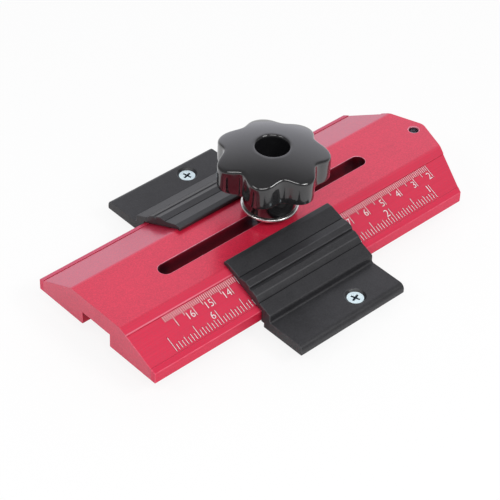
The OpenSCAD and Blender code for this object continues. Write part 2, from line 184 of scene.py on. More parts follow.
class JigEdges(bpy.types.PropertyGroup):
    """Radii of the edges that machining and tumbling leave"""

    arm: length("Arm", "Edge radius of the arm", 0.3 * MM)
    ridge: length("Arm ridges", "Width of the rounding on the arm's flat-angled ridges", 0.9 * MM)
    bracket: length("Brackets", "Edge radius of the brackets", 0.3 * MM)
    bar: length("Bar", "Edge radius of the mitre bar", 0.4 * MM)
    washer: length("Washer", "Edge radius of the washer", 0.65 * MM)
    fastener: length("Fasteners", "Edge radius of the screws, bolt and nut", 0.12 * MM)
    bearing: length("Bearing", "Edge radius of the bearing's rings", 0.25 * MM)
    knob_rim: length("Knob rim", "Radius between the knob's top and its side", 1.0 * MM)
    knob_foot: length("Knob foot", "Radius under the knob's head", 0.8 * MM)


class JigKnob(bpy.types.PropertyGroup):
    """Shape of the knob's head"""

    lobes: bpy.props.IntProperty(name="Lobes", description="Number of lobes", min=3, default=7)
    lobe_out: length("Crest", "Distance from the axis to the crest of a lobe", 24.95 * MM)
    valley_out: length("Valley", "Distance from the axis to the valley between two lobes", 20.45 * MM)
    lobe_soft: length("Breadth", "How much broader the lobes are than the valleys", 0.16 * MM)
    lobe_turn: bpy.props.FloatProperty(
        name="Turn", description="Turn of the first lobe from the X axis",
        subtype="ANGLE", default=math.radians(9),
    )
    dome: length("Dome", "Radius of the domed top", 65 * MM)
    hub: length("Hub", "Radius of the hub", 11.8 * MM)
    hub_h: length("Hub height", "Height of the hub under the head", 15.1 * MM)
    well: length("Well", "Radius of the hole in the top", 7.1 * MM)
    head_h: length("Head height", "Height of the head at its middle", 15.8 * MM)


class JigRuler(bpy.types.PropertyGroup):
    """Marks on the arm's front slope"""

    first_cm: bpy.props.IntProperty(name="First cm", description="First centimetre line", min=1, default=2)
    last_cm: bpy.props.IntProperty(name="Last cm", description="Last centimetre line", min=2, default=17)
    last_inch: bpy.props.IntProperty(name="Last inch", description="Last inch line", min=1, default=7)
    line: length("Line", "Width of a line", 0.25 * MM)
    border: length("Border", "Width of the darker border round a line", 0.16 * MM)
    slim: length("Numeral thinning", "How much thinner the numerals' strokes are on each side", 0.03 * MM)
    proud: length("Proud", "Height of the marks over the slope", 0.03 * MM)
    top: length("Top", "Distance from the arm's middle to the start of the centimetre lines", 19.95 * MM)
    foot: length("Foot", "Distance from the arm's middle to the foot of the inch lines", 34.0 * MM)
    numeral: length("Numerals", "Height of the centimetre numerals", 3.4 * MM)
    inch_numeral: length("Inch numerals", "Height of the inch numerals", 3.5 * MM)


class JigStage(bpy.types.PropertyGroup):
    """Camera, floor and light"""

    camera_at: bpy.props.FloatVectorProperty(
        name="Camera", description="Place of the camera", subtype="XYZ", unit="LENGTH",
        default=(-0.44666, -0.45387, 0.54877), precision=5,
    )
    camera_turn: bpy.props.FloatVectorProperty(
        name="Camera turn", description="Rotation of the camera", subtype="EULER",
        default=(math.radians(49.317), math.radians(-1.753), math.radians(-42.344)),
    )
    lens: number("Lens", "Focal length in millimetres", 137.52, least=10)
    floor_size: length("Floor", "Size of the floor", 8.0)
    world_light: number("World", "Strength of the even light", 0.27)
    wall_light: number("Back wall", "Strength of the wall behind", 1.2)
    key_power: bpy.props.FloatProperty(
        name="Soft boxes", description="Power of the soft boxes together", unit="POWER", min=0, default=9.6
    )


SETTINGS = {
    "jig_colours": JigColours,
    "jig_edges": JigEdges,
    "jig_knob": JigKnob,
    "jig_ruler": JigRuler,
    "jig_stage": JigStage,
}


# Effects that several finishes share, as node groups


class Sheet:
    """A node tree with short calls for adding nodes and joining them."""

    def __init__(self, tree):
        self.tree = tree

    def add(self, kind, **values):
        """A node with its values, which are properties or inputs."""
        made = self.tree.nodes.new(kind)
        self.set(made, values)
        return made

    def set(self, made, values):
        """Gives a node's properties or inputs their values by name, with _ for a space in an input's."""
        for key, value in values.items():
            if hasattr(made, key):
                setattr(made, key, value)
            else:
                self.put(made.inputs[key.replace("_", " ")], value)

    def join(self, start, end):
        self.tree.links.new(start, end)

    def put(self, socket, value):
        """Gives an input its value, which is a constant or another node's output."""
        if isinstance(value, bpy.types.NodeSocket):
            self.join(value, socket)
        else:
            socket.default_value = value

    def fill(self, made, values):
        """Gives a node's first inputs their values."""
        for socket, value in zip(made.inputs, values):
            self.put(socket, value)

    def math(self, operation, *values):
        """A Math node's output."""
        made = self.add("ShaderNodeMath", operation=operation)
        self.fill(made, values)
        return made.outputs[0]

    def vector(self, operation, *values):
        """A Vector Math node's output: a number for a length or a dot product, else a vector."""
        made = self.add("ShaderNodeVectorMath", operation=operation)
        self.fill(made, values)
        return made.outputs["Value" if operation in ("LENGTH", "DOT_PRODUCT") else "Vector"]

    def spread(self, value, low, high, from_low=0.0, from_high=1.0, soft=False):
        """The value, carried from one range to another and held there."""
        made = self.add("ShaderNodeMapRange", interpolation_type="SMOOTHSTEP" if soft else "LINEAR")
        self.fill(made, (value, from_low, from_high, low, high))
        return made.outputs["Result"]

    def patchy(self, noise, low=0.0, high=1.0, start=0.3):
        """The middle part of a noise, stretched from low to high."""
        return self.spread(noise, low, high, start, 0.7)

    def product(self, *factors):
        """All the factors multiplied; the first is a node's output."""
        made = factors[0]
        for factor in factors[1:]:
            made = self.math("MULTIPLY", made, factor)
        return made

    def coordinate(self, kind="Object"):
        """The shaded point's place in its piece, or another of its coordinates."""
        return self.add("ShaderNodeTexCoord").outputs[kind]

    def axes(self, kind="Object"):
        """The X, Y and Z of a coordinate."""
        return self.add("ShaderNodeSeparateXYZ", Vector=self.coordinate(kind)).outputs

    def noise(self, place, size, detail, rough):
        """A noise over places, with grains of about the given size."""
        scale = self.math("DIVIDE", 1.0, size)
        made = self.add("ShaderNodeTexNoise", Vector=place, Scale=scale, Detail=detail, Roughness=rough)
        return made.outputs[0]

    def mix(self, amount, first, second):
        """A colour between two, each of them a constant or a node's output."""
        made = self.add("ShaderNodeMix", data_type="RGBA")
        self.join(amount, made.inputs[0])
        for place, value in zip(MIX_COLOURS, (first, second)):
            self.put(made.inputs[place], value if isinstance(value, bpy.types.NodeSocket) else (*value, 1))
        return made.outputs[MIX_RESULT]

    def clouded(self, noise, base, dark, light):
        """A constant colour, made darker and lighter by a noise."""
        return self.mix(self.patchy(noise), shade(base, dark), shade(base, light))

    def layered(self, tone, *layers):
        """A colour with others laid over it, each by its own mask."""
        for mask, layer in layers:
            tone = self.mix(mask, tone, layer)
        return tone


def effect(name, output, **inputs):
    """A new node group with number or vector inputs and one number output: its sheet, and both ends."""
    tree = bpy.data.node_groups.new(name, "ShaderNodeTree")
    for key, value in inputs.items():
        kind = "NodeSocketFloat" if isinstance(value, float) else "NodeSocketVector"
        tree.interface.new_socket(key, in_out="INPUT", socket_type=kind).default_value = value
    tree.interface.new_socket(output, in_out="OUTPUT", socket_type="NodeSocketFloat")
    sheet = Sheet(tree)
    return sheet, sheet.add("NodeGroupInput").outputs, sheet.add("NodeGroupOutput").inputs[output]


def blasted_grain():
    """The fine, even grain that blasting or etching leaves."""
    sheet, given, out = effect("Blasted grain", "Grain", Size=0.2 * MM)
    sheet.join(sheet.noise(sheet.coordinate(), given["Size"], 2.0, 0.6), out)
    return sheet.tree


def drawn_streaks():
    """Fine lines along one direction, as extruding and brushing leave."""
    sheet, given, out = effect("Drawn streaks", "Streaks", Size=0.2 * MM, Stretch=ALONG_ARM)
    stretched = sheet.vector("MULTIPLY", sheet.coordinate(), given["Stretch"])
    sheet.join(sheet.noise(stretched, given["Size"], 4.0, 0.65), out)
    return sheet.tree


def turned_rings():
    """The fine grooves that a lathe leaves, round an upright axis."""
    sheet, given, out = effect("Turned rings", "Rings", Middle=(0.0, 0.0, 0.0), Pitch=0.12 * MM)
    offset = sheet.vector("SUBTRACT", sheet.coordinate(), given["Middle"])
    reach = sheet.vector("LENGTH", sheet.vector("MULTIPLY", offset, (1, 1, 0)))
    turns = sheet.math("DIVIDE", reach, given["Pitch"])
    noise = sheet.add("ShaderNodeTexNoise", noise_dimensions="1D", W=turns, Scale=1.0, Detail=2.0)
    sheet.join(noise.outputs[0], out)
    return sheet.tree


def rim_wear_and_highlight():
    """A mask of the rounded edges, a little broken up: partly wear where a coating is thin, partly a painted
    highlight where the edges catch the light.
    """
    sheet, given, out = effect("Bright rims", "Rim", Patches=2.5 * MM)
    rim = sheet.add("ShaderNodeAttribute", attribute_name="rim")
    patches = sheet.noise(sheet.coordinate(), given["Patches"], 3.0, 0.6)
    sheet.join(sheet.product(rim.outputs["Fac"], sheet.spread(patches, 0.5, 1.0, 0.35, 0.6)), out)
    return sheet.tree


def crevice_shade():
    """A mask that is 1 deep in a piece's own slots and corners, where shade is painted."""
    sheet, given, out = effect("Crevices", "Depth", Reach=2.0 * MM, Start=0.75, Full=0.35)
    sky = sheet.add("ShaderNodeAmbientOcclusion", samples=8, only_local=True, Distance=given["Reach"])
    sheet.join(sheet.spread(sky.outputs["AO"], 0.0, 1.0, given["Start"], given["Full"]), out)
    return sheet.tree


class Finish:
    """One material: its Principled shader, and the shared effects placed in it."""

    effects = {}

    def __init__(self, name, **plain):
        self.material = bpy.data.materials.new(name)
        self.material.use_nodes = True
        self.sheet = Sheet(self.material.node_tree)
        self.shader = self.material.node_tree.nodes["Principled BSDF"]
        self.sheet.set(self.shader, plain)

    def place(self, build, **values):
        """The output of a shared effect with this finish's own values."""
        if build not in Finish.effects:
            Finish.effects[build] = build()
        return self.sheet.add("ShaderNodeGroup", node_tree=Finish.effects[build], **values).outputs[0]

    def grain(self, size):
        """The shared blasted grain at a given size."""
        return self.place(blasted_grain, Size=size)

    def bump(self, height, distance, strength, **under):
        """A Bump node's normal, over another one if that is given as Normal."""
        made = self.sheet.add("ShaderNodeBump", Height=height, Distance=distance, Strength=strength, **under)
        return made.outputs[0]

    def done(self, **values):
        """The material, with the last values for its shader."""
        self.sheet.set(self.shader, values)
        return self.material


def shade(base, factor):
    """A colour made lighter or darker."""
    return tuple(min(1.0, part * factor) for part in base)


# Finishes


def red_anodised(colours):
    """Red dyed oxide on a satin extrusion, with a fine sparkle, faint lines along the arm, partly worn rims,
    and painted highlights, light, reflection and shade.
    """
    finish = Finish(
        "red_anodised", Metallic=0.3, Coat_Roughness=0.22, Coat_IOR=1.5, Specular_Tint=(0.3, 0.6, 1.0, 1)
    )
    sheet = finish.sheet
    red = tuple(colours.arm_red)
    # Pale pink for worn rims and painted highlights, near black for painted shade in the slot
    wear_and_highlight, deep = (0.95, 0.4, 0.5), (0.02, 0.001, 0.003)
    streaks = finish.place(drawn_streaks, Size=0.5 * MM, Stretch=ALONG_ARM)
    cloud = finish.grain(14 * MM)
    sparkle = finish.grain(0.5 * MM)
    grain = finish.grain(0.22 * MM)
    rim = finish.place(rim_wear_and_highlight, Patches=3 * MM)
    # Painted shade: an occlusion mask that darkens the arm deep in its slot
    depth = finish.place(crevice_shade, Reach=9 * MM, Start=0.97, Full=0.66)
    place, facing = sheet.axes(), sheet.axes("Normal")
    off = sheet.math("ABSOLUTE", place["Y"])
    strip = sheet.spread(off, 0.0, 1.0, RIM_OUT, RIM_OUT + 0.2 * MM)
    slot = sheet.product(
        sheet.spread(place["X"], 0.0, 1.0, SLOT_TAIL - MM, SLOT_TAIL),
        sheet.spread(off, 1.0, 0.0, SLOT_HALF, SLOT_HALF + 0.3 * MM),
    )
    # A painted highlight line along the upper step of the ruler's field, on the front
    step = sheet.product(
        sheet.spread(place["Z"], 0.0, 0.45, STEP_HEIGHT - 0.2 * MM, STEP_HEIGHT),
        sheet.spread(off, 0.0, 1.0, STEP_OUT - 0.5 * MM, STEP_OUT - 0.35 * MM),
        sheet.spread(off, 1.0, 0.0, STEP_OUT, STEP_OUT + 0.15 * MM),
        sheet.math("LESS_THAN", place["Y"], 0.0),
        sheet.spread(place["X"], 1.0, 0.0, -60 * MM, 0.0),
    )
    # Which way a surface faces picks two painted tints: painted light on the front slope, a painted cool
    # reflection on the back slope
    upward = sheet.spread(facing["Z"], 0.0, 1.0, 0.75, 0.85)
    front = sheet.product(upward, sheet.spread(facing["Y"], 1.0, 0.0, -0.35, -0.15))
    back = sheet.product(upward, sheet.spread(facing["Y"], 0.0, 1.0, 0.15, 0.35))
    tone = sheet.layered(
        sheet.clouded(cloud, red, 0.95, 1.06),
        (strip, shade(red, 1.12)),
        # Painted light: the front slope lighter and more orange
        (front, (red[0] * 1.15, red[1] + 0.028, red[2] + 0.043)),
        # Painted reflection and shade: the back slope less red and bluer
        (back, (red[0] * 0.88, red[1] + 0.02, red[2] + 0.035)),
        (sheet.patchy(sparkle, 0.0, 0.8, start=0.35), shade(red, 1.4)),
        (sheet.patchy(streaks, 0.0, 0.2, start=0.35), shade(red, 0.8)),
        # Painted highlight along the ruler's upper step
        (step, wear_and_highlight),
        # The slot's rims, lighter partly by wear and partly by painted highlight
        (sheet.product(rim, sheet.spread(slot, 0.2, 0.8)), wear_and_highlight),
        # Painted shade deep in the slot, near black
        (sheet.product(depth, sheet.spread(slot, 0.2, 0.97)), deep),
    )
    lines = finish.bump(streaks, 0.004 * MM, 0.5)
    return finish.done(
        Base_Color=tone,
        Roughness=sheet.patchy(grain, 0.32, 0.44),
        Normal=finish.bump(sparkle, 0.015 * MM, 0.5, Normal=lines),
        Coat_Weight=sheet.spread(strip, 0.75, 0.2),
    )


def black_anodised(colours):
    """Matte black oxide with a fine blasted grain and lines along the extrusion, edges lighter by wear and
    painted highlight, and painted shade in its corners.
    """
    finish = Finish("black_anodised", Metallic=0.0, Specular_IOR_Level=0.4)
    sheet = finish.sheet
    black = tuple(colours.bracket_black)
    streaks = finish.place(drawn_streaks, Size=0.4 * MM, Stretch=ALONG_ARM)
    cloud = finish.grain(9 * MM)
    grain = finish.grain(0.18 * MM)
    speckle = finish.grain(0.6 * MM)
    rim = finish.place(rim_wear_and_highlight, Patches=3 * MM)
    depth = finish.place(crevice_shade, Reach=0.6 * MM, Start=0.8, Full=0.45)
    tone = sheet.layered(
        sheet.clouded(cloud, black, 0.8, 1.2),
        (sheet.patchy(speckle, 0.0, 0.6, start=0.35), shade(black, 2.0)),
        # Edges lighter, partly by wear and partly by painted highlight
        (sheet.product(rim, 0.5), (0.08, 0.08, 0.085)),
        # Painted shade in the brackets' corners
        (sheet.product(depth, 0.8), (0.002, 0.002, 0.002)),
    )
    lines = finish.bump(streaks, 0.005 * MM, 0.5)
    normal = finish.bump(speckle, 0.015 * MM, 0.5, Normal=lines)
    return finish.done(Base_Color=tone, Roughness=sheet.patchy(grain, 0.34, 0.48), Normal=normal)


def moulded_gloss(colours):
    """Glossy black plastic with a slight ripple from the mould and fine handling marks."""
    finish = Finish("moulded_gloss", Metallic=0.0, Coat_Weight=0.73, Coat_Roughness=0.04, Coat_IOR=1.5)
    sheet = finish.sheet
    ripple = finish.grain(5 * MM)
    marks = finish.grain(0.5 * MM)
    tone = sheet.clouded(ripple, tuple(colours.knob_black), 0.9, 1.15)
    normal = finish.bump(ripple, 0.01 * MM, 0.35)
    return finish.done(Base_Color=tone, Roughness=sheet.patchy(marks, 0.1, 0.18), Normal=normal)


def metal(name, base, rough, middle=(0.0, 0.0, 0.0), pit=None, bare=0.95):
    """Metal with turned rings round the middle, less metallic as bare falls, and painted shade in a recess
    below a height pit.
    """
    finish = Finish(name, Metallic=bare)
    sheet = finish.sheet
    rings = finish.place(turned_rings, Middle=middle, Pitch=0.12 * MM)
    grain = finish.grain(0.3 * MM)
    cloud = finish.grain(3 * MM)
    tone = sheet.clouded(cloud, base, 0.9, 1.05)
    if pit is not None:
        # Painted shade in a recess: dark blue-grey below the given height
        recess_shade = sheet.spread(sheet.axes()["Z"], 1.0, 0.0, pit - 0.25 * MM, pit)
        tone = sheet.mix(recess_shade, tone, (0.05, 0.07, 0.1))
    normal = finish.bump(rings, 0.006 * MM, 0.5)
    return finish.done(Base_Color=tone, Roughness=sheet.patchy(grain, *rough), Normal=normal)


def brushed_bar(colours):
    """Bare aluminium with the lines of its drawing along the bar."""
    finish = Finish("brushed_bar", Metallic=1.0)
    sheet = finish.sheet
    streaks = finish.place(drawn_streaks, Size=0.25 * MM, Stretch=ALONG_BAR)
    cloud = finish.grain(6 * MM)
    tone = sheet.clouded(cloud, tuple(colours.bar_aluminium), 0.88, 1.0)
    normal = finish.bump(streaks, 0.008 * MM, 0.6)
    return finish.done(Base_Color=tone, Roughness=sheet.patchy(streaks, 0.28, 0.48), Normal=normal)


def laser_print(name, base):
    """Marks that a laser has bleached in the oxide, or the darker border round them."""
    finish = Finish(name, Metallic=0.0, Specular_IOR_Level=0.3)
    sheet = finish.sheet
    grain = finish.grain(0.1 * MM)
    tone = sheet.clouded(grain, base, 0.85, 1.1)
    return finish.done(Base_Color=tone, Roughness=sheet.patchy(grain, 0.5, 0.7))


# Making pieces


def placed(name, data):
    """A new object in the scene."""
    piece = bpy.data.objects.new(name, data)
    bpy.context.scene.collection.objects.link(piece)
    return piece


def evaluated(piece):
    """The piece's mesh with its modifiers applied."""
    bpy.context.view_layer.update()
    graph = bpy.context.evaluated_depsgraph_get()
    return bpy.data.meshes.new_from_object(piece.evaluated_get(graph))


def modify(piece, kind, **values):
    """Applies a modifier with the given values to the piece."""
    made = piece.modifiers.new(kind, kind)
    for key, value in values.items():
        setattr(made, key, value)
    done = evaluated(piece)
    piece.modifiers.clear()
    piece.data = done


def settle(piece, body, material, nodes):
    """Gives a finished piece its material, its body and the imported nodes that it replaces."""
    piece.data.materials.clear()
    piece.data.materials.append(material)
    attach(piece, body)
    if nodes:
        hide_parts(*nodes)


def crisp_from(piece, turn):
    """Shades the piece smooth but for the edges that turn more, in degrees."""
    piece.data.shade_smooth()
    piece.data.set_sharp_from_angle(angle=math.radians(turn))


def even_normals(piece):
    """Shades flat faces flat and rounded edges round, and keeps inner corners sharp."""
    piece.data.shade_smooth()
    form = bmesh.new()
    form.from_mesh(piece.data)
    bmesh.ops.dissolve_limit(form, angle_limit=math.radians(0.4), verts=form.verts, edges=form.edges)
    for edge in form.edges:
        edge.smooth = -SMOOTH_TURN < edge.calc_face_angle_signed(0) < SHARP_TURN
    form.to_mesh(piece.data)
    form.free()
    modify(piece, "WEIGHTED_NORMAL", mode="FACE_AREA", weight=50, keep_sharp=True)


def even_chains(widths):
    """The widths of edges, with the least one of each smooth chain given to the whole chain."""
    bend = math.radians(25)
    even, left = {}, set(widths)
    while left:
        chain, front = [], [left.pop()]
        while front:
            edge = front.pop()
            chain.append(edge)
            for vert in edge.verts:
                way = vert.co - edge.other_vert(vert).co
                for near in vert.link_edges:
                    if near in left and way.angle(near.other_vert(vert).co - vert.co) < bend:
                        left.remove(near)
                        front.append(near)
        least = min(widths[edge] for edge in chain)
        even.update((edge, least) for edge in chain)
    return even


def is_ridge(edge):
    """Whether an edge is a long one that turns too little to be crisp."""
    return SMOOTH_TURN < edge.calc_face_angle_signed(0) < SHARP_TURN and edge.calc_length() > RIDGE_LENGTH


def eased(node, name, radius, crease=14, steps=3, gentle=0.0):
    """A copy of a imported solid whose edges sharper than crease, in degrees, are rounded to at most radius.

    With gentle, the ridges are rounded over that width first."""
    form = bmesh.new()
    form.from_mesh(NODES[node].data)
    bmesh.ops.remove_doubles(form, verts=form.verts, dist=0.0005 * MM)
    bmesh.ops.dissolve_limit(form, angle_limit=math.radians(0.5), verts=form.verts, edges=form.edges)
    if gentle:
        bmesh.ops.bevel(
            form, geom=[edge for edge in form.edges if is_ridge(edge)], offset=gentle, offset_type="OFFSET",
            segments=4, profile=0.5, affect="EDGES", clamp_overlap=False, material=-1,
        )
    weight = form.edges.layers.float.new("bevel_weight_edge")
    widths = {}
    for edge in form.edges:
        if edge.is_convex and edge.calc_face_angle() > math.radians(crease):
            room = min(face.calc_area() for face in edge.link_faces) / edge.calc_length()
            widths[edge] = min(1.0, ROOM_SHARE * room / radius)
    for edge, width in even_chains(widths).items():
        edge[weight] = width
    mesh = bpy.data.meshes.new(name)
    form.to_mesh(mesh)
    form.free()
    piece = placed(name, mesh)
    for part in ("face", "rim"):
        mesh.materials.append(bpy.data.materials.new(part))
    for polygon in mesh.polygons:
        polygon.material_index = 0
    modify(
        piece, "BEVEL", width=radius, segments=steps, limit_method="WEIGHT", use_clamp_overlap=False,
        loop_slide=False, miter_outer="MITER_ARC", material=1,
    )
    mesh = piece.data
    rims = [float(polygon.material_index) for polygon in mesh.polygons]
    mesh.attributes.new("rim", "FLOAT", "FACE").data.foreach_set("value", rims)
    mesh.polygons.foreach_set("material_index", [0] * len(rims))
    even_normals(piece)
    return piece


def turned(node, name, radius, body, material, steps=3):
    """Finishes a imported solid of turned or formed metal."""
    settle(eased(node, name, radius, TURNED_CREASE, steps), body, material, [node])


def axis_of(node):
    """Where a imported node's upright axis stands, at height 0."""
    low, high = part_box(node)
    middle = (low + high) / 2
    return Vector((middle.x, middle.y, 0))


def score(piece, y, z, wide, deep):
    """Cuts a fine line along X into a corner of the piece, at y and z."""
    low, high = (Vector(corner) for corner in (piece.bound_box[0], piece.bound_box[6]))
    above = z + 0.4 * MM
    points = []
    for x in (low.x - MM, high.x + MM):
        points += [(x, y - wide / 2, above), (x, y + wide / 2, above), (x, y, z - deep)]
    cutter = meshed("scorer", points, [(0, 1, 2), (3, 4, 5), (0, 1, 4, 3), (1, 2, 5, 4), (2, 0, 3, 5)])
    modify(piece, "BOOLEAN", operation="DIFFERENCE", solver="EXACT", object=cutter)
    bpy.data.objects.remove(cutter)


def meshed(name, points, faces):
    """A new object from points and faces, with its normals facing out."""
    mesh = bpy.data.meshes.new(name)
    mesh.from_pydata(points, [], faces)
    form = bmesh.new()
    form.from_mesh(mesh)
    bmesh.ops.recalc_face_normals(form, faces=form.faces)
    form.to_mesh(mesh)
    form.free()
    return placed(name, mesh)


def full_turn(sides):
    """The turns of evenly spaced points round a ring."""
    return [2 * math.pi * i / sides for i in range(sides)]


def skinned(name, rings, closed=True):
    """An object whose surface runs through rings of points; closed joins the last ring to the first."""
    sides = len(rings[0])
    points = [point for ring in rings for point in ring]
    pairs = [(i, i + 1) for i in range(len(rings) - 1)]
    if closed:
        pairs.append((len(rings) - 1, 0))
    faces = [
        (a * sides + i, a * sides + (i + 1) % sides, b * sides + (i + 1) % sides, b * sides + i)
        for a, b in pairs
        for i in range(sides)
    ]
    if not closed:
        faces.append(tuple(range(sides)))
        faces.append(tuple(range(len(points) - sides, len(points))))
    return meshed(name, points, faces)


# The knob


def lobed_outline(knob, sides, inset):
    """The head's outline, drawn in by inset along its own normal."""

    def reach(turn):
        wave = knob.lobes * (turn - knob.lobe_turn)
        middle = (knob.lobe_out + knob.valley_out) / 2
        depth = (knob.lobe_out - knob.valley_out) / 2
        return middle + depth * math.cos(wave) + knob.lobe_soft * (1 - math.cos(2 * wave))

    def point(turn):
        return Vector((math.cos(turn), math.sin(turn))) * reach(turn)

    outline = []
    small = math.radians(0.05)
    for turn in full_turn(sides):
        along = (point(turn + small) - point(turn - small)).normalized()
        outline.append(point(turn) - Vector((along.y, -along.x)) * inset)
    return outline


def knob_rings(knob, edges, sides=196):
    """The knob's surface as rings, from the bore under its hub out over the head and down into the well."""
    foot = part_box("clamp_knob")[0].z
    head = foot + knob.hub_h
    middle = head + knob.head_h - knob.dome
    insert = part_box("knob_insert")[1]
    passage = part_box("clamp_bolt")[1].y * 1.024
    hub_edge, neck = 0.5 * MM, 0.8 * MM
    lip, lip_deep = 1.0 * MM, 1.9 * MM

    def dome(reach):
        return middle + math.sqrt(knob.dome**2 - reach**2)

    def circle(radius, z):
        return [(radius * math.cos(turn), radius * math.sin(turn), z) for turn in full_turn(sides)]

    def lobed(inset, z):
        return [(p.x, p.y, z) for p in lobed_outline(knob, sides, inset)]

    def domed(inset, drop):
        return [(p.x, p.y, dome(p.length) - drop) for p in lobed_outline(knob, sides, inset)]

    # A quarter of a rounding, as what is left of its width and what it has risen
    quarter = [(1 - math.sin(turn), 1 - math.cos(turn)) for turn in (math.radians(18 * k) for k in range(6))]
    rings = [circle(insert.x, insert.z), circle(insert.x, foot)]
    rings += [circle(knob.hub - hub_edge * left, foot + hub_edge * risen) for left, risen in quarter]
    rings += [circle(knob.hub, foot + (head - foot) * k / 4) for k in (1, 2, 3)]
    rings += [circle(knob.hub + neck * risen, head - neck * left) for left, risen in quarter]
    under = edges.knob_foot
    rings += [lobed(under * left, head + under * risen) for left, risen in quarter]
    rim = edges.knob_rim
    low = head + under
    side = domed(0, rim)
    rings += [[(x, y, low + (z - low) * k / 4) for x, y, z in side] for k in (1, 2, 3)]
    rings += [domed(rim * risen, rim * left) for left, risen in quarter]
    outer = lobed_outline(knob, sides, rim)
    mouth = circle(knob.well + lip, 0)
    for k in range(1, 13):
        row = [p.lerp(Vector(q[:2]), k / 12) for p, q in zip(outer, mouth)]
        rings.append([(p.x, p.y, dome(p.length)) for p in row])
    top = dome(knob.well + lip)
    rings += [circle(knob.well + lip * left, top - lip_deep * risen) for left, risen in quarter[1:]]
    rings += [circle(knob.well, head + 1.5 * MM), circle(knob.well - 0.6 * MM, head)]
    rings += [circle(passage, head), circle(passage, insert.z)]
    return rings


# The threaded bolt


def hexagon(z, flats, sides=32):
    """A ring round a hexagon whose flats are the given distance from the axis."""
    ring = []
    for turn in reversed(full_turn(sides)):
        within = (turn + math.radians(30)) % math.radians(60) - math.radians(30)
        reach = flats / math.cos(within)
        ring.append((reach * math.sin(turn), reach * math.cos(turn), z))
    return ring


def thread_rings(radius, root, pitch, low, high, sides=32, per_turn=10):
    """A right-hand thread's surface as rings, whose points lie further in or out as the helix passes."""
    rings = []
    run_out = 0.8 * MM
    count = int((high - low) / pitch * per_turn)
    for k in range(count + 1):
        z = low + (high - low) * k / count
        fade = min(1.0, (high - z) / run_out, (z - low) / run_out)
        ring = []
        for turn in full_turn(sides):
            phase = (z / pitch - turn / (2 * math.pi)) % 1.0
            crest = 1 - abs(2 * phase - 1)
            depth = (radius - root) * min(1.0, max(0.0, 1.25 * crest - 0.1))
            reach = radius - depth * fade - (1 - fade) * (radius - root) * 0.5
            ring.append((reach * math.cos(turn), reach * math.sin(turn), z))
        rings.append(ring)
    return rings


# The ruler


class Slope:
    """The flat field of the arm's front slope, with places given along X and out from the arm's middle."""

    def __init__(self):
        arm = NODES["slide_arm"].data
        tree = BVHTree.FromPolygons([v.co for v in arm.vertices], [p.vertices for p in arm.polygons])
        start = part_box("slide_arm")[0].x + 5 * MM
        self.inner = self.hit(tree, start, 22 * MM)
        self.outer = self.hit(tree, start, 33 * MM)
        self.up = (self.inner - self.outer).normalized()
        self.out = X_AXIS.cross(self.up)

    @staticmethod
    def hit(tree, x, out):
        found = tree.ray_cast(Vector((x, -out, 1)), Vector((0, 0, -1)))
        return found[0]

    def at(self, x, out, proud=0.0):
        """The point at x, a distance out from the arm's middle, and proud of the surface."""
        climb = (out + self.inner.y) / self.up.y
        foot = self.inner - self.up * climb
        return Vector((x, foot.y, foot.z)) + self.out * proud


def add_block(form, corners, low, high):
    """A flat block over four points, from low to high along the slope's normal."""
    below = [form.verts.new(point + low) for point in corners]
    above = [form.verts.new(point + high) for point in corners]
    form.faces.new(reversed(below))
    form.faces.new(above)
    for i in range(4):
        j = (i + 1) % 4
        form.faces.new((below[i], below[j], above[j], above[i]))


def add_line(form, slope, proud, half, x, start, end):
    """One mark of the ruler across the arm, at x, half as wide to each side."""
    corners = [slope.at(x + side * half, out) for side, out in ((-1, end), (1, end), (1, start), (-1, start))]
    add_block(form, corners, slope.out * -proud, slope.out * proud)


def flat_text(curve):
    """A text curve's mesh, and its points."""
    holder = placed("numeral", curve)
    flat = evaluated(holder)
    bpy.data.objects.remove(holder)
    return flat, [v.co.copy() for v in flat.vertices]


def add_numeral(form, slope, proud, grown, text, right, foot, height):
    """A numeral whose right edge is at right and whose foot is a distance foot from the arm's middle."""
    curve = bpy.data.curves.new("numeral", "FONT")
    curve.body = text
    curve.resolution_u = 4
    spots = flat_text(curve)[1]
    low_y = min(p.y for p in spots)
    scale = height / (max(p.y for p in spots) - low_y)
    high_x = max(p.x for p in spots)
    curve.offset = grown / scale
    flat, spots = flat_text(curve)
    origin = slope.at(right, foot, proud)
    made = []
    for p in spots:
        across = X_AXIS * (p.x - high_x) * scale * NUMERAL_WIDTH
        made.append(form.verts.new(origin + across + slope.up * (p.y - low_y) * scale))
    faces = [form.faces.new([made[i] for i in polygon.vertices]) for polygon in flat.polygons]
    extruded = bmesh.ops.extrude_face_region(form, geom=faces)
    lifted = [part for part in extruded["geom"] if isinstance(part, bmesh.types.BMVert)]
    bmesh.ops.translate(form, verts=lifted, vec=slope.out * -2 * proud)


def line_reach(step, lines):
    """How far the line at a step reaches: that of the longest kind that falls on it."""
    return next(reach for part, reach in lines.items() if step % part == 0)


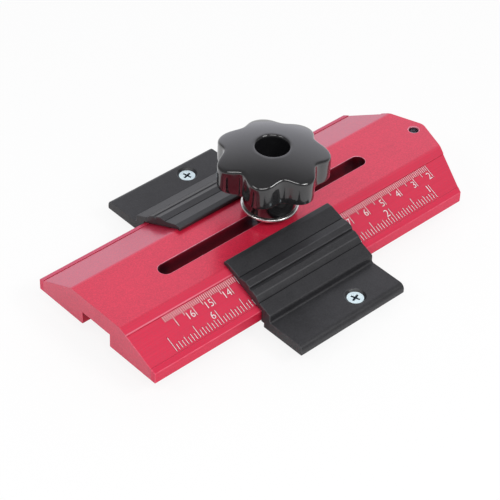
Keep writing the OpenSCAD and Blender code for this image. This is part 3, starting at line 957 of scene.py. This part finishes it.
def ruler_mesh(name, ruler, proud, grown):
    """All of the ruler's marks as one mesh, each of them grown all round."""
    form = bmesh.new()
    slope = Slope()
    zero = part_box("bearing_outer_ring")[1].x
    half = ruler.line / 2 + grown
    thick = grown - ruler.slim
    for step in range(ruler.first_cm * 10, ruler.last_cm * 10 + 5):
        x = zero - step * MM
        foot = ruler.top + line_reach(step, CM_LINES)
        add_line(form, slope, proud, half, x, ruler.top, foot + grown)
        if step % 10 == 0 and step < ruler.last_cm * 10:
            right = x - CM_NUMERAL_GAP
            add_numeral(form, slope, proud, thick, str(step // 10), right, foot, ruler.numeral)
    for step in range(16, ruler.last_inch * 16 + 1):
        x = zero - step * INCH / 16
        top = ruler.foot - line_reach(step, INCH_LINES)
        add_line(form, slope, proud, half, x, top - grown, ruler.foot + grown)
        if step % 16 == 0 and step < ruler.last_inch * 16:
            right, foot = x - INCH_NUMERAL_GAP, ruler.foot - INCH_NUMERAL_RISE
            add_numeral(form, slope, proud, thick, str(step // 16), right, foot, ruler.inch_numeral)
    bmesh.ops.recalc_face_normals(form, faces=form.faces)
    mesh = bpy.data.meshes.new(name)
    form.to_mesh(mesh)
    form.free()
    return mesh


# Operators


class JIG_OT_arm(bpy.types.Operator):
    """Finish the red arm"""

    bl_idname = "jig.arm"
    bl_label = "Arm"

    def execute(self, context):
        edges = context.scene.jig_edges
        piece = eased("slide_arm", "arm_extrusion", edges.arm, crease=30, gentle=edges.ridge)
        for side in (-1, 1):
            for out, height in ARM_LINES:
                score(piece, side * out, height, *ARM_LINE_SIZE)
        even_normals(piece)
        material = red_anodised(context.scene.jig_colours)
        settle(piece, "arm", material, ["slide_arm"])
        return {"FINISHED"}


class JIG_OT_ruler(bpy.types.Operator):
    """Mark the ruler on the arm's front slope"""

    bl_idname = "jig.ruler"
    bl_label = "Ruler"

    def execute(self, context):
        ruler, colours = context.scene.jig_ruler, context.scene.jig_colours
        scorch = laser_print("scorched_border", tuple(colours.scorch))
        marks = laser_print("bleached_marks", tuple(colours.print_white))
        for name, proud, grown, material in (
            ("ruler_borders", ruler.proud / 2, ruler.border, scorch),
            ("ruler_marks", ruler.proud, 0.0, marks),
        ):
            piece = placed(name, ruler_mesh(name, ruler, proud, grown))
            settle(piece, "arm", material, [])
        return {"FINISHED"}


class JIG_OT_brackets(bpy.types.Operator):
    """Finish the two guide brackets"""

    bl_idname = "jig.brackets"
    bl_label = "Brackets"

    def execute(self, context):
        material = black_anodised(context.scene.jig_colours)
        for node, side in (("front_bracket", -1), ("rear_bracket", 1)):
            piece = eased(node, node + "_extrusion", context.scene.jig_edges.bracket)
            for out, height in BRACKET_LINES:
                score(piece, side * out, height, *BRACKET_LINE_SIZE)
            even_normals(piece)
            settle(piece, "base", material, [node])
        return {"FINISHED"}


class JIG_OT_bracket_screws(bpy.types.Operator):
    """Finish the countersunk screws"""

    bl_idname = "jig.bracket_screws"
    bl_label = "Bracket screws"

    def execute(self, context):
        zinc, edge = tuple(context.scene.jig_colours.zinc), context.scene.jig_edges.fastener
        for node, turn in SCREW_TURNS.items():
            # The cross recess gets painted shade below the height pit
            axis, pit = axis_of(node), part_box(node)[1].z - SCREW_SHADE_DEPTH
            material = metal(node + "_zinc", zinc, (0.3, 0.42), middle=axis, pit=pit, bare=0.42)
            piece = eased(node, node.replace("bracket", "cross_head"), edge, TURNED_CREASE)
            spin = Matrix.Rotation(math.radians(turn), 4, "Z")
            piece.data.transform(Matrix.Translation(axis) @ spin @ Matrix.Translation(-axis))
            settle(piece, "base", material, [node])
        return {"FINISHED"}


class JIG_OT_mitre_bar(bpy.types.Operator):
    """Finish the mitre bar"""

    bl_idname = "jig.mitre_bar"
    bl_label = "Mitre bar"

    def execute(self, context):
        piece = eased("mitre_bar", "slot_bar", context.scene.jig_edges.bar, crease=20)
        settle(piece, "base", brushed_bar(context.scene.jig_colours), ["mitre_bar"])
        return {"FINISHED"}


class JIG_OT_clamp_bolt(bpy.types.Operator):
    """Finish the clamp bolt with its thread, and its nut"""

    bl_idname = "jig.clamp_bolt"
    bl_label = "Clamp bolt"

    def execute(self, context):
        material = metal("bolt_zinc", tuple(context.scene.jig_colours.zinc), (0.26, 0.4))
        low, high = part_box("clamp_bolt")
        head_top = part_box("mitre_bar")[0].z + BOLT_HEAD
        shank = thread_rings(BOLT_CREST, BOLT_ROOT, BOLT_PITCH, head_top, high.z)
        head = [
            hexagon(low.z, BOLT_FLATS * 0.93),
            hexagon(low.z + 0.35 * MM, BOLT_FLATS),
            hexagon(head_top, BOLT_FLATS),
        ]
        piece = skinned("threaded_bolt", head + shank, closed=False)
        crisp_from(piece, 40)
        settle(piece, "base", material, ["clamp_bolt"])
        edge = context.scene.jig_edges.fastener
        turned("bolt_nut", "thin_nut", edge, "base", material)
        return {"FINISHED"}


class JIG_OT_clamp_knob(bpy.types.Operator):
    """Mould the lobed knob and finish its threaded insert"""

    bl_idname = "jig.clamp_knob"
    bl_label = "Clamp knob"

    def execute(self, context):
        scene = context.scene
        piece = skinned("lobed_knob", knob_rings(scene.jig_knob, scene.jig_edges))
        crisp_from(piece, 50)
        settle(piece, "knob", moulded_gloss(scene.jig_colours), ["clamp_knob"])
        steel = metal("insert_steel", tuple(scene.jig_colours.steel), (0.22, 0.34))
        turned("knob_insert", "threaded_insert", scene.jig_edges.fastener, "knob", steel)
        return {"FINISHED"}


class JIG_OT_clamp_washer(bpy.types.Operator):
    """Finish the steel washer under the knob"""

    bl_idname = "jig.clamp_washer"
    bl_label = "Clamp washer"

    def execute(self, context):
        material = metal("washer_steel", tuple(context.scene.jig_colours.steel), (0.16, 0.26))
        edge = context.scene.jig_edges.washer
        turned("clamp_washer", "captive_washer", edge, "washer", material, steps=4)
        return {"FINISHED"}


class JIG_OT_nose_bearing(bpy.types.Operator):
    """Finish the bearing in the arm's nose"""

    bl_idname = "jig.nose_bearing"
    bl_label = "Nose bearing"

    def execute(self, context):
        colours, edge = context.scene.jig_colours, context.scene.jig_edges.bearing
        steel, axis = tuple(colours.steel), axis_of("bearing_outer_ring")
        ground = metal("ground_rings", steel, (0.12, 0.2), middle=axis)
        pressed = metal("pressed_shields", shade(steel, 0.92), (0.24, 0.36), middle=axis)
        for node, body in (("bearing_outer_ring", "roller"), ("bearing_inner_ring", "arm")):
            turned(node, node.replace("bearing", "ground"), edge, body, ground)
        for node in ("upper_bearing_shield", "lower_bearing_shield"):
            name = node.replace("bearing", "pressed")
            turned(node, name, SHIELD_EDGE, "roller", pressed)
        dress("bearing_balls", metal("polished_balls", steel, (0.05, 0.1), middle=axis))
        dress("bearing_cage", metal("pressed_cage", tuple(colours.brass), (0.25, 0.4), middle=axis))
        return {"FINISHED"}


class JIG_OT_bearing_screw(bpy.types.Operator):
    """Finish the bearing's screw, spacer and washer"""

    bl_idname = "jig.bearing_screw"
    bl_label = "Bearing screw"

    def execute(self, context):
        colours, edge = context.scene.jig_colours, context.scene.jig_edges.fastener
        axis = axis_of("bearing_screw")
        zinc = metal("bearing_screw_zinc", tuple(colours.zinc), (0.28, 0.4), middle=axis)
        steel = metal("spacer_steel", tuple(colours.steel), (0.2, 0.3), middle=axis)
        turned("bearing_screw", "low_head_screw", edge, "arm", zinc)
        for node in ("upper_bearing_spacer", "lower_bearing_washer"):
            turned(node, node.replace("bearing", "turned"), SPACER_EDGE, "arm", steel)
        return {"FINISHED"}


def dress(node, material):
    """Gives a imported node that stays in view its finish."""
    for slot in NODES[node].material_slots:
        slot.material = material


class JIG_OT_stage(bpy.types.Operator):
    """Set up the floor, the light and the camera"""

    bl_idname = "jig.stage"
    bl_label = "Stage"

    def execute(self, context):
        stage = context.scene.jig_stage
        add_camera(context.scene, stage)
        add_floor(stage, context.scene.jig_colours)
        add_world(context.scene, stage)
        add_lamps(stage)
        context.scene.view_settings.view_transform = "Standard"
        return {"FINISHED"}


def add_camera(scene, stage):
    """The camera that the photo was taken with, as far as the ruler's marks tell."""
    data = bpy.data.cameras.new("camera")
    data.sensor_width = 36
    data.lens = stage.lens
    data.clip_start = 0.05
    data.clip_end = 20
    camera = placed("camera", data)
    camera.location = stage.camera_at
    camera.rotation_euler = stage.camera_turn
    scene.camera = camera


def ray_kinds(sheet):
    """Masks of the rays that the camera sees by, straight or through glass, and of reflected ones."""
    rays = sheet.add("ShaderNodeLightPath").outputs
    return sheet.math("MAXIMUM", rays["Is Camera Ray"], rays["Is Transmission Ray"]), rays["Is Glossy Ray"]


def add_floor(stage, colours):
    """A pale floor that stays white to the eye and keeps the jig's shadow."""
    half = stage.floor_size / 2
    level = CAD_BOX[0].z
    corners = [(-half, -half, level), (half, -half, level), (half, half, level), (-half, half, level)]
    floor = meshed("floor", corners, [(0, 1, 2, 3)])
    material = bpy.data.materials.new("pale_floor")
    material.use_nodes = True
    sheet = Sheet(material.node_tree)
    material.node_tree.nodes.clear()
    matte = sheet.add("ShaderNodeBsdfDiffuse", Color=(*colours.floor, 1))
    glow = sheet.add("ShaderNodeEmission", Color=(1, 1, 1, 1), Strength=1.0)
    blend = sheet.add("ShaderNodeMixShader")
    out = sheet.add("ShaderNodeOutputMaterial")
    seen, mirrored = ray_kinds(sheet)
    around = sheet.spread(sheet.vector("LENGTH", sheet.coordinate()), 0.0, 1.0, 0.1, 0.2)
    white = sheet.math("MAXIMUM", seen, sheet.product(mirrored, around))
    sheet.fill(blend, (sheet.product(white, FLOOR_GLOW), matte.outputs[0], glow.outputs[0]))
    sheet.join(blend.outputs[0], out.inputs["Surface"])
    floor.data.materials.append(material)


def add_world(scene, stage):
    """Even light from all round with a brighter back wall, and plain white to the eye."""
    world = bpy.data.worlds.new("studio")
    scene.world = world
    world.use_nodes = True
    sheet = Sheet(world.node_tree)
    ground = world.node_tree.nodes["Background"]
    facing = sheet.vector("DOT_PRODUCT", sheet.coordinate("Generated"), Vector(WALL_WAY).normalized())
    wall = sheet.spread(facing, stage.world_light, stage.wall_light, *WALL_FACING, soft=True)
    seen, mirrored = ray_kinds(sheet)
    cold = sheet.product(sheet.spread(facing, 0.0, 1.0, *WALL_FACING), sheet.math("SUBTRACT", 1.0, seen))
    sheet.join(sheet.mix(cold, SKY_TINT, WALL_TINT), ground.inputs["Color"])
    lifted = sheet.math("ADD", wall, sheet.product(mirrored, 0.05))
    sheet.join(sheet.math("MAXIMUM", lifted, seen), ground.inputs["Strength"])


def add_lamps(stage):
    """A broad soft box over the camera's shoulder, and a lower one at each side of it."""
    for name, turn, rise, wide, share in LAMPS:
        data = bpy.data.lights.new(name, "AREA")
        data.shape = "RECTANGLE"
        data.size, data.size_y = wide, LAMP_HEIGHT
        data.energy = stage.key_power * share
        lamp = placed(name, data)
        way = Matrix.Rotation(math.radians(turn), 3, "Z") @ Vector((-0.40, -0.42, rise)).normalized()
        lamp.location = way * LAMP_DISTANCE
        lamp.rotation_euler = way.to_track_quat("Z", "Y").to_euler()


OPERATORS = (
    JIG_OT_stage,
    JIG_OT_arm,
    JIG_OT_ruler,
    JIG_OT_brackets,
    JIG_OT_bracket_screws,
    JIG_OT_mitre_bar,
    JIG_OT_clamp_bolt,
    JIG_OT_clamp_knob,
    JIG_OT_clamp_washer,
    JIG_OT_nose_bearing,
    JIG_OT_bearing_screw,
)


class JIG_PT_pieces(bpy.types.Panel):
    """Lists the jig's pieces"""

    bl_label = "Rip Jig"
    bl_idname = "JIG_PT_pieces"
    bl_space_type = "VIEW_3D"
    bl_region_type = "UI"
    bl_category = "Rip Jig"

    def draw(self, context):
        for kind in OPERATORS:
            self.layout.operator(kind.bl_idname)


def register():
    for kind in (*SETTINGS.values(), *OPERATORS, JIG_PT_pieces):
        bpy.utils.register_class(kind)
    for name, kind in SETTINGS.items():
        setattr(bpy.types.Scene, name, bpy.props.PointerProperty(type=kind))


def unregister():
    for name in SETTINGS:
        delattr(bpy.types.Scene, name)
    for kind in (JIG_PT_pieces, *reversed(OPERATORS), *reversed(SETTINGS.values())):
        bpy.utils.unregister_class(kind)


def main():
    register()
    for kind in OPERATORS:
        group, action = kind.bl_idname.split(".")
        getattr(getattr(bpy.ops, group), action)()


if __name__ == "__main__":
    main()
